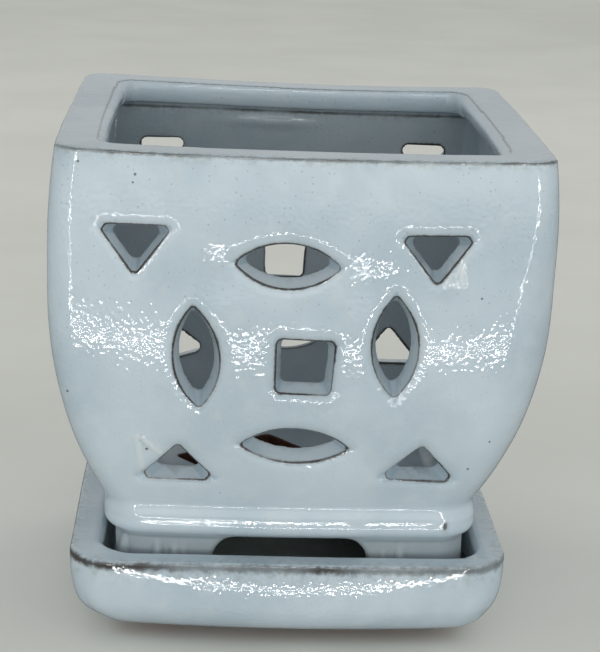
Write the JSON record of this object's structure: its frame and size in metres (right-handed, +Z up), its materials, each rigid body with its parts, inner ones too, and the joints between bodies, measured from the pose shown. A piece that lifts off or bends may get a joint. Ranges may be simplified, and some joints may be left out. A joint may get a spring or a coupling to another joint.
{
  "type": "orchid pot with slots and saucer",
  "caption": "Square bellied orchid pot with pierced slots in every wall, a flat lipped rim and bracket feet, standing loose in a square saucer that catches its water.",
  "frame": {"origin": "on the table, under the middle of the saucer", "axes": "+Z up, -Y out of the front of the pot, +X to the right of someone who faces that front"},
  "size_m": [0.157, 0.157, 0.163],
  "materials": {
    "glaze": "glossy pale blue-white glaze, breaking brown on the edges",
    "bare_clay": "bare red-brown stoneware"
  },
  "bodies": {
    "saucer": {"saucer_tray": "glaze", "saucer_foot_front_left": "bare_clay", "saucer_foot_front_right": "bare_clay", "saucer_foot_back_right": "bare_clay", "saucer_foot_back_left": "bare_clay"},
    "pot": {"rim_frame": "glaze", "wall_front": "glaze", "wall_right": "glaze", "wall_back": "glaze", "wall_left": "glaze", "base_slab": "glaze", "pot_foot_front_left": "glaze", "pot_foot_front_right": "glaze", "pot_foot_back_right": "glaze", "pot_foot_back_left": "glaze"}
  },
  "joints": [
    {"name": "pot_lift", "type": "slide", "parent": "saucer", "child": "pot", "axis": [0, 0, 1], "range_m": [0, 0.06]}
  ]
}
